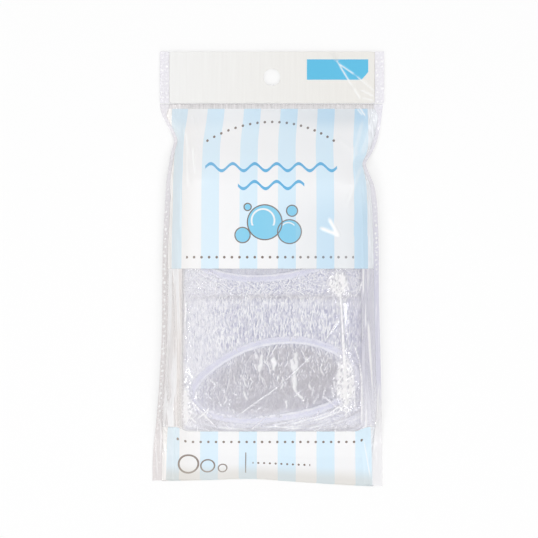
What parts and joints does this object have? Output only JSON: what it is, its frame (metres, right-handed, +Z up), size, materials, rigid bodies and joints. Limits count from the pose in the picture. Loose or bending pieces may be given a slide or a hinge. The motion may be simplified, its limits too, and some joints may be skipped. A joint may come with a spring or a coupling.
{
  "type": "pack of disposable shower caps",
  "caption": "Flat hanging retail pack: clear film bag with striped print, a window on folded elastic-edged shower caps, and a folding header with a hang hole.",
  "frame": {"origin": "under the middle of the pack's outline, on the surface that the pack lies on", "axes": "+X across the pack to the right as its front is read, +Y along the pack towards the header, +Z up out of the printed front"},
  "size_m": [0.11, 0.205, 0.019],
  "materials": {
    "clear_film": "thin clear film, glossy, creased",
    "printed_film": "thin film printed in white and pale blue stripes, glossy",
    "header_film": "thin white printed film, glossy",
    "welded_film": "two films heat-welded with a knurled pattern",
    "cap_film": "very thin clear film, crumpled, shiny",
    "elastic": "white covered elastic, matt",
    "closing_tape": "clear adhesive strip"
  },
  "bodies": {
    "bag": {"back_leaf": "clear_film", "front_upper_print": "printed_film", "front_window": "clear_film", "front_lower_print": "printed_film", "side_weld_left": "welded_film", "side_weld_right": "welded_film", "bottom_fold": "printed_film", "cap_film_lower_1": "cap_film", "cap_film_lower_2": "cap_film", "cap_film_lower_3": "cap_film", "cap_film_lower_4": "cap_film", "cap_film_lower_5": "cap_film", "cap_film_upper_1": "cap_film", "cap_film_upper_2": "cap_film", "cap_film_upper_3": "cap_film", "cap_film_upper_4": "cap_film", "cap_film_upper_5": "cap_film", "cap_elastic_lower_1": "elastic", "cap_elastic_lower_2": "elastic", "cap_elastic_lower_3": "elastic", "cap_elastic_lower_4": "elastic", "cap_elastic_lower_5": "elastic", "cap_elastic_upper_1": "elastic", "cap_elastic_upper_2": "elastic", "cap_elastic_upper_3": "elastic", "cap_elastic_upper_4": "elastic", "cap_elastic_upper_5": "elastic"},
    "header": {"header_back_leaf": "header_film", "header_front_leaf": "header_film", "sealing_lip": "clear_film", "closing_tape": "closing_tape", "header_weld_left": "welded_film", "header_weld_right": "welded_film"}
  },
  "joints": [
    {"name": "header_fold", "type": "hinge", "parent": "bag", "child": "header", "pos_m": [0, 0.07775, 0.0014], "axis": [1, 0, 0], "range_deg": [0, 150]}
  ]
}
